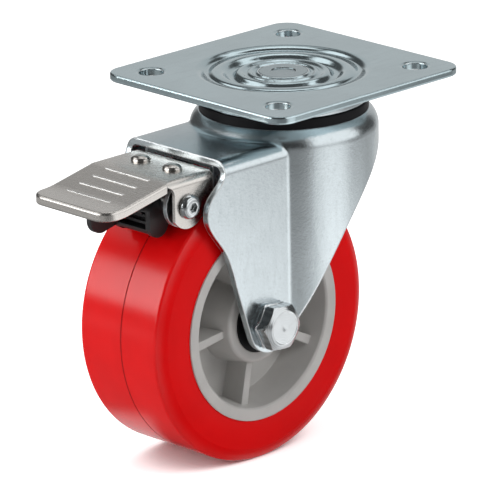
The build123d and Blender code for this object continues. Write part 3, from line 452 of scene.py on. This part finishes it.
# ---------------------------------------------------------------- settings
class CastorFinishes(bpy.types.PropertyGroup):
    """Colours and gloss of the castor's pieces."""

    zinc: bpy.props.FloatVectorProperty(
        name="Zinc", description="Zinc plate on the pressed sheet", subtype="COLOR", min=0, max=1,
        default=(0.585, 0.645, 0.67))
    plate: bpy.props.FloatVectorProperty(
        name="Plate", description="Zinc plate on the rolled top plate", subtype="COLOR", min=0, max=1,
        default=(0.515, 0.625, 0.66))
    zinc_roughness: bpy.props.FloatProperty(
        name="Zinc roughness", description="Gloss of the zinc plate", subtype="FACTOR", min=0, max=1,
        default=0.17)
    bolts: bpy.props.FloatVectorProperty(
        name="Bolts", description="Zinc plate on the bolts and nuts", subtype="COLOR", min=0, max=1,
        default=(0.63, 0.66, 0.675))
    pedal: bpy.props.FloatVectorProperty(
        name="Pedal", description="Brushed stainless sheet", subtype="COLOR", min=0, max=1,
        default=(0.62, 0.595, 0.565))
    tyre: bpy.props.FloatVectorProperty(
        name="Tyre", description="Cast polyurethane", subtype="COLOR", min=0, max=1,
        default=(0.74, 0.003, 0.004))
    core: bpy.props.FloatVectorProperty(
        name="Wheel core", description="Moulded polypropylene", subtype="COLOR", min=0, max=1,
        default=(0.485, 0.475, 0.46))
    nylon: bpy.props.FloatVectorProperty(
        name="Brake shoe", description="Moulded nylon", subtype="COLOR", min=0, max=1,
        default=(0.022, 0.022, 0.023))
    seal: bpy.props.FloatVectorProperty(
        name="Seals", description="Rubber of the dust seal and caps", subtype="COLOR", min=0, max=1,
        default=(0.006, 0.006, 0.007))


class CastorSizes(bpy.types.PropertyGroup):
    """Sizes of the tyre, in metres."""

    tyre_steps: bpy.props.IntProperty(
        name="Tyre steps", description="Faces round the tyre", min=48, max=256, default=160)
    seat_r: bpy.props.FloatProperty(
        name="Seat radius", description="Where the tyre's side meets the core", subtype="DISTANCE",
        unit="LENGTH", default=0.044)
    key_r: bpy.props.FloatProperty(
        name="Key radius", description="Raised band of the core that keys into the tyre",
        subtype="DISTANCE", unit="LENGTH", default=0.047)
    key_half: bpy.props.FloatProperty(
        name="Key half width", description="Half the width of that band", subtype="DISTANCE",
        unit="LENGTH", default=0.018)
    shoulder_w: bpy.props.FloatProperty(
        name="Shoulder width", description="Sloping shoulder, across the tyre", subtype="DISTANCE",
        unit="LENGTH", default=0.0025)
    shoulder_h: bpy.props.FloatProperty(
        name="Shoulder height", description="Sloping shoulder, inwards from the tread",
        subtype="DISTANCE", unit="LENGTH", default=0.0055)
    edge_r: bpy.props.FloatProperty(
        name="Edge rounding", description="Rounding on both edges of the shoulder", subtype="DISTANCE",
        unit="LENGTH", default=0.0016)
    tyre_bulge: bpy.props.FloatProperty(
        name="Bulge", description="How far each side face bulges", subtype="DISTANCE", unit="LENGTH",
        default=0.0004)
    parting_y: bpy.props.FloatProperty(
        name="Parting line place", description="From the middle of the tread towards the bolt's head",
        subtype="DISTANCE", unit="LENGTH", default=0.002)
    parting_w: bpy.props.FloatProperty(
        name="Parting line width", description="Width of the groove that the mould left on the tread",
        subtype="DISTANCE", unit="LENGTH", default=0.0006)
    parting_h: bpy.props.FloatProperty(
        name="Parting line depth", description="Depth of that groove",
        subtype="DISTANCE", unit="LENGTH", default=0.0003)


class CastorStudio(bpy.types.PropertyGroup):
    """Camera, lamps and floor."""

    azimuth: bpy.props.FloatProperty(
        name="Azimuth", description="Direction of the camera, from +X towards +Y",
        subtype="ANGLE", unit="ROTATION", default=radians(45.75))
    elevation: bpy.props.FloatProperty(
        name="Elevation", description="Height of the camera", subtype="ANGLE", unit="ROTATION",
        default=radians(17.6))
    roll: bpy.props.FloatProperty(
        name="Roll", description="Turn of the camera about its view", subtype="ANGLE", unit="ROTATION",
        default=radians(-0.92))
    distance: bpy.props.FloatProperty(
        name="Distance", description="Camera to the point it looks at", subtype="DISTANCE",
        unit="LENGTH", default=2.56307)
    lens: bpy.props.FloatProperty(
        name="Lens", description="Focal length in millimetres for a 36 mm sensor", default=438.523)
    aim_right: bpy.props.FloatProperty(
        name="Aim to the right", description="How far right of the swivel axis the camera looks",
        subtype="DISTANCE", unit="LENGTH", default=-0.01994)
    aim_height: bpy.props.FloatProperty(
        name="Aim height", description="Height that the camera looks at", subtype="DISTANCE",
        unit="LENGTH", default=-0.07787)
    floor: bpy.props.FloatVectorProperty(
        name="Floor", description="Colour of the floor", subtype="COLOR", min=0, max=1,
        default=(0.86, 0.86, 0.86))
    floor_glow: bpy.props.FloatProperty(
        name="Floor glow", description="White that the camera sees on the floor besides its lit colour",
        min=0, max=1, default=0.68)
    floor_mirror: bpy.props.FloatProperty(
        name="Mirrored floor", description="How far metal mirrors the room's own shades in the floor",
        subtype="FACTOR", min=0, max=1, default=0.85)
    fill: bpy.props.FloatProperty(
        name="Fill", description="Strength of the room's own light", min=0, max=2, default=0.24)


# ---------------------------------------------------------------- operators
class CASTOR_OT_plate(bpy.types.Operator):
    """Finish the top plate, its race cup and the kingpin"""

    bl_idname = "castor.plate"
    bl_label = "Top plate and kingpin"

    def execute(self, context):
        looks = context.scene.castor_finishes
        gloss = looks.zinc_roughness
        coat_node("top_plate", zinc_finish(
            "Zinc on rolled plate", looks.plate, gloss - 0.03, (0.10, 1.0, 1.0), grit=0.6,
            rounding=0.0008, dent=DISH_RING))
        pressed = zinc_finish("Zinc on the races", tone(looks.zinc, 0.9), gloss + 0.04)
        for node in ("race_cup", "lower_race"):
            coat_node(node, pressed)
        pin_tint = tone(looks.plate, 0.85)
        pin = turned_finish("Zinc on the kingpin", pin_tint, gloss + 0.02, (0, 0, 0), (0, 0, 1))
        for node in ("kingpin", "kingpin_washer", "kingpin_nut"):
            coat_node(node, pin)
        steel = zinc_finish("Hardened balls", (0.55, 0.55, 0.55), 0.12, grit=0.1)
        for node in ("upper_balls", "lower_balls", "bearing_balls"):
            coat_node(node, steel)
        return {"FINISHED"}


class CASTOR_OT_yoke(bpy.types.Operator):
    """Finish the pressed yoke and its dust seal"""

    bl_idname = "castor.yoke"
    bl_label = "Yoke and dust seal"

    def execute(self, context):
        looks = context.scene.castor_finishes
        gloss = looks.zinc_roughness
        coat_node("yoke", zinc_finish(
            "Zinc on the yoke", looks.zinc, gloss + 0.05, (1.0, 1.0, 0.3), grit=2.0, rounding=0.0011))
        seal = moulded_finish("Seal rubber", looks.seal, 0.5, 2200.0, 0.00002, 0.12, rounding=0.0003)
        for node in ("dust_seal", "dust_caps"):
            coat_node(node, seal)
        return {"FINISHED"}


class CASTOR_OT_tyre(bpy.types.Operator):
    """Turn the tyre with its sloping shoulders and parting line"""

    bl_idname = "castor.tyre"
    bl_label = "Tyre"

    def execute(self, context):
        looks, sizes = context.scene.castor_finishes, context.scene.castor_sizes
        line_y, line_w, line_h = sizes.parting_y / MM, sizes.parting_w / MM, sizes.parting_h / MM
        tread, side = TREAD_R / MM, (TYRE_SIDE - sizes.tyre_bulge) / MM
        foot = tread - sizes.shoulder_h / MM
        edge = side - sizes.shoulder_w / MM
        seat_r, bulge, edge_r = sizes.seat_r / MM, sizes.tyre_bulge / MM, sizes.edge_r / MM
        near = [(seat_r + (foot - seat_r) * n / 6, side + bulge * sin(pi * n / 6)) for n in range(6)]
        near += rounded_corner(near[-1], (foot, side), (tread, edge), edge_r)
        near += rounded_corner((foot, side), (tread, edge), (tread, 0.0), edge_r)
        far = [(r, -y) for r, y in reversed(near)]
        groove = [(tread, line_y + line_w / 2), (tread - line_h, line_y), (tread, line_y - line_w / 2)]
        key_r, key_half = sizes.key_r / MM, sizes.key_half / MM
        slope = key_r - seat_r
        seat = [(seat_r, -key_half - slope), (key_r, -key_half)]
        seat += [(key_r, key_half), (seat_r, key_half + slope)]
        tyre = turn_profile("tyre_cast", near + groove + far + seat, AXLE, "Y", sizes.tyre_steps)
        red = tyre_finish("Cast polyurethane", looks.tyre, 0.3, sizes.parting_y, sizes.parting_w)
        settle(tyre, red, "wheel", "tyre")
        return {"FINISHED"}


class CASTOR_OT_core(bpy.types.Operator):
    """Finish the moulded wheel core"""

    bl_idname = "castor.core"
    bl_label = "Wheel core"

    def execute(self, context):
        looks = context.scene.castor_finishes
        grey = moulded_finish(
            "Moulded polypropylene", looks.core, 0.46, 1300.0, 0.00003, 0.4, rounding=0.0009)
        coat_node("wheel_core", grey)
        return {"FINISHED"}


class CASTOR_OT_bearings(bpy.types.Operator):
    """Finish the wheel's bearings, sleeve and spacers"""

    bl_idname = "castor.bearings"
    bl_label = "Wheel bearings"

    def execute(self, context):
        ground = turned_finish("Ground bearing steel", (0.50, 0.50, 0.50), 0.2, AXLE, (0, 1, 0))
        for node in ("bearing_outer_rings", "bearing_inner_rings", "axle_sleeve", "axle_spacers"):
            coat_node(node, ground)
        return {"FINISHED"}


class CASTOR_OT_axle(bpy.types.Operator):
    """Finish the axle bolt and what it clamps"""

    bl_idname = "castor.axle"
    bl_label = "Axle bolt and nut"

    def execute(self, context):
        looks = context.scene.castor_finishes
        bolt = turned_finish("Zinc on the axle bolt", looks.bolts, 0.18, AXLE, (0, 1, 0))
        for node in ("axle_bolt", "axle_lock_plate", "axle_washer", "axle_nut"):
            coat_node(node, bolt)
        return {"FINISHED"}


class CASTOR_OT_brake(bpy.types.Operator):
    """Finish the brake's pedal, shoe, bracket and pivot"""

    bl_idname = "castor.brake"
    bl_label = "Brake"

    def execute(self, context):
        looks = context.scene.castor_finishes
        pedal = brushed_finish("Brushed stainless", looks.pedal, 0.27, (2600.0, 90.0, 2600.0))
        coat_node("pedal_plate", pedal)
        low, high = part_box("shoe_rivets")
        seat = high.z - RIVET_SEAT
        foot = (low.z - seat) / MM
        turns = [pi * n / 20 for n in range(11)]
        profile = [(RIVET_R * sin(a), RIVET_RIM + RIVET_DOME * cos(a)) for a in turns]
        foot_top = foot + RIVET_FOOT_H
        profile += [(RIVET_R, 0.0), (RIVET_SHANK_R, 0.0), (RIVET_SHANK_R, foot_top)]
        profile += [(RIVET_FOOT_R, foot_top), (RIVET_FOOT_R, foot), (0.0, foot)]
        first = Vector(((low.x + high.x) / 2, low.y + RIVET_R * MM, seat))
        rivets = turn_profile("rivets_domed", profile, first, "Z", 40)
        add_copy(rivets, (0.0, -2.0 * first.y, 0.0))
        polished = turned_finish("Rivet heads", tone(looks.pedal, 1.1), 0.14, first, (0, 0, 1))
        settle(rivets, polished, "pedal", "shoe_rivets")
        coat_node("brake_shoe", moulded_finish("Moulded nylon", looks.nylon, 0.40, 1900.0, 0.00003, 0.5))
        coat_node("brake_bracket", zinc_finish("Zinc on the bracket", tone(looks.zinc, 0.85), 0.28))
        coat_node("detent_spring", zinc_finish("Spring steel", (0.30, 0.31, 0.32), 0.25))
        pivot = turned_finish("Zinc on the pivot", looks.bolts, 0.16, PIVOT, (0, 1, 0))
        for node in ("pivot_screw", "pivot_nut", "pivot_spacers", "spring_rivet"):
            coat_node(node, pivot)
        return {"FINISHED"}


def towards(azimuth, elevation):
    """Unit vector in a direction given in degrees, from +X towards +Y and up."""
    a, e = radians(azimuth), radians(elevation)
    return Vector((cos(a) * cos(e), sin(a) * cos(e), sin(e)))


def place_lamp(name, azimuth, elevation, distance, wide, high, radiance):
    """A soft box that looks at the castor; radiance is how bright its face is, where white is 1."""
    lamp = bpy.data.lights.new(name, "AREA")
    lamp.shape = "RECTANGLE"
    lamp.size, lamp.size_y = wide, high
    lamp.energy = radiance * pi * wide * high
    box = bpy.data.objects.new(name, lamp)
    bpy.context.scene.collection.objects.link(box)
    way = towards(azimuth, elevation)
    box.location = LIT_POINT + way * distance
    box.rotation_mode = "QUATERNION"
    box.rotation_quaternion = way.to_track_quat("Z", "Y")
    return box


def only_mirrored(card):
    """Hide a part of the studio from all but mirrored rays."""
    for ray in ("camera", "diffuse", "shadow", "transmission", "volume_scatter"):
        setattr(card, "visible_" + ray, False)


def room_shade(f):
    """How bright the mirrored room is in each direction from its eye."""
    place = f.node("NewGeometry", output="Position")
    way = f.node("VectorMath", {"operation": "SUBTRACT"}, {0: place, 1: ROOM_EYE})
    way = f.node("VectorMath", {"operation": "NORMALIZE"}, {0: way})
    shade = ROOM_DARK
    for azimuth, half, low, high, soft, value in ROOM_PARTS:
        turned = f.node("VectorRotate", {"rotation_type": "Z_AXIS"}, {
            "Vector": way, "Angle": radians(-azimuth)})
        x, y, z = (f.node("SeparateXYZ", {}, {"Vector": turned}, output=part) for part in "XYZ")
        aside = y.maths("ABSOLUTE", y.maths("ARCTAN2", y, x))
        rise = z.maths("ARCSINE", z)
        across = f.between(aside, radians(half - soft), radians(half + soft), 1.0, 0.0)
        over = f.between(rise, radians(low - soft), radians(low + soft))
        under = f.between(rise, radians(high - soft), radians(high + soft), 1.0, 0.0)
        shade = shade + (value - shade) * (across * over * under)
    return shade


def seen_rays(f):
    """1 for camera, mirrored and glass rays; the shell catches most of the mirrored ones."""
    paths = [f.node("LightPath", output=f"Is {ray} Ray") for ray in ("Camera", "Glossy", "Transmission")]
    return f.node("Math", {"operation": "ADD", "use_clamp": True}, {0: paths[0] + paths[1], 1: paths[2]})


class CASTOR_OT_studio(bpy.types.Operator):
    """Make the floor, the lamps, the white surroundings and the camera"""

    bl_idname = "castor.studio"
    bl_label = "Studio"

    def execute(self, context):
        studio = context.scene.castor_studio
        deselect()
        bpy.ops.mesh.primitive_plane_add(size=12.0, location=(0.0, 0.0, FLOOR_Z))
        floor = context.object
        floor.name = floor.data.name = "studio_floor"
        f = new_finish("Pale floor")
        matt = f.node("BsdfDiffuse", {}, {"Color": colour4(studio.floor)})
        open_sky = f.node("AmbientOcclusion", {"samples": 12}, {"Distance": SHADOW_REACH}, output="AO")
        glow = seen_rays(f) * f.between(open_sky, *SHADOW_OPEN, 0.0, studio.floor_glow)
        glow = f.node("Emission", {}, {"Color": WHITE, "Strength": glow})
        both = f.node("AddShader", {}, {0: matt, 1: glow})
        mirrored = f.node("Emission", {}, {"Color": WHITE, "Strength": room_shade(f)})
        polished = f.node("LightPath", output="Is Glossy Ray")
        either = f.node("MixShader", {}, {0: polished * studio.floor_mirror, 1: both, 2: mirrored})
        f.node("OutputMaterial", {}, {"Surface": either})
        floor.data.materials.append(f.owner)

        world = bpy.data.worlds.new("Studio room")
        context.scene.world = world
        f = Finish(world)
        strength = studio.fill + seen_rays(f) * (1.0 - studio.fill)
        glow = f.node("Background", {}, {"Color": WHITE, "Strength": strength})
        f.node("OutputWorld", {}, {"Surface": glow})

        bpy.ops.mesh.primitive_uv_sphere_add(
            segments=64, ring_count=32, radius=ROOM_R, location=ROOM_EYE)
        room = context.object
        room.name = room.data.name = "room_shell"
        f = new_finish("Room shell")
        glow = f.node("Emission", {}, {"Color": WHITE, "Strength": room_shade(f)})
        f.node("OutputMaterial", {}, {"Surface": glow})
        room.data.materials.append(f.owner)
        only_mirrored(room)

        for name, azimuth, elevation, distance, wide, high, radiance, mirrored in LAMPS:
            lamp = place_lamp(name, azimuth, elevation, distance, wide, high, radiance)
            lamp.visible_glossy = mirrored

        camera = bpy.data.cameras.new("view_camera")
        camera.lens, camera.sensor_width = studio.lens, 36.0
        camera.clip_start, camera.clip_end = 0.05, 50.0
        eye = bpy.data.objects.new("view_camera", camera)
        context.scene.collection.objects.link(eye)
        way = towards(degrees(studio.azimuth), degrees(studio.elevation))
        right = towards(degrees(studio.azimuth) + 90.0, 0.0)
        over = right.cross(-way)
        across = right * cos(studio.roll) + over * sin(studio.roll)
        above = over * cos(studio.roll) - right * sin(studio.roll)
        aim = right * studio.aim_right + Vector((0.0, 0.0, studio.aim_height))
        turned = Matrix((across, above, way)).transposed().to_4x4()
        eye.matrix_world = Matrix.Translation(aim + way * studio.distance) @ turned
        context.scene.camera = eye
        context.scene.view_settings.view_transform = "Standard"
        return {"FINISHED"}


class CASTOR_PT_panel(bpy.types.Panel):
    """The castor's settings and the steps that make it"""

    bl_label = "Swivel Castor"
    bl_idname = "CASTOR_PT_panel"
    bl_space_type = "VIEW_3D"
    bl_region_type = "UI"
    bl_category = "Castor"

    def draw(self, context):
        layout = self.layout
        for name in GROUPS:
            group = getattr(context.scene, name)
            box = layout.box()
            for key in group.__annotations__:
                box.prop(group, key)
        for step in STEPS:
            layout.operator(step.bl_idname)


STEPS = (
    CASTOR_OT_plate, CASTOR_OT_yoke, CASTOR_OT_tyre, CASTOR_OT_core, CASTOR_OT_bearings,
    CASTOR_OT_axle, CASTOR_OT_brake, CASTOR_OT_studio,
)
GROUPS = {
    "castor_finishes": CastorFinishes,
    "castor_sizes": CastorSizes,
    "castor_studio": CastorStudio,
}


def register():
    for made in (*GROUPS.values(), *STEPS, CASTOR_PT_panel):
        bpy.utils.register_class(made)
    for key, group in GROUPS.items():
        setattr(bpy.types.Scene, key, bpy.props.PointerProperty(type=group))


def unregister():
    for key in GROUPS:
        delattr(bpy.types.Scene, key)
    for made in (CASTOR_PT_panel, *reversed(STEPS), *reversed(GROUPS.values())):
        bpy.utils.unregister_class(made)


def main():
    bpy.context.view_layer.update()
    register()
    for step in STEPS:
        module, call = step.bl_idname.split(".")
        getattr(getattr(bpy.ops, module), call)()


if __name__ == "__main__":
    main()
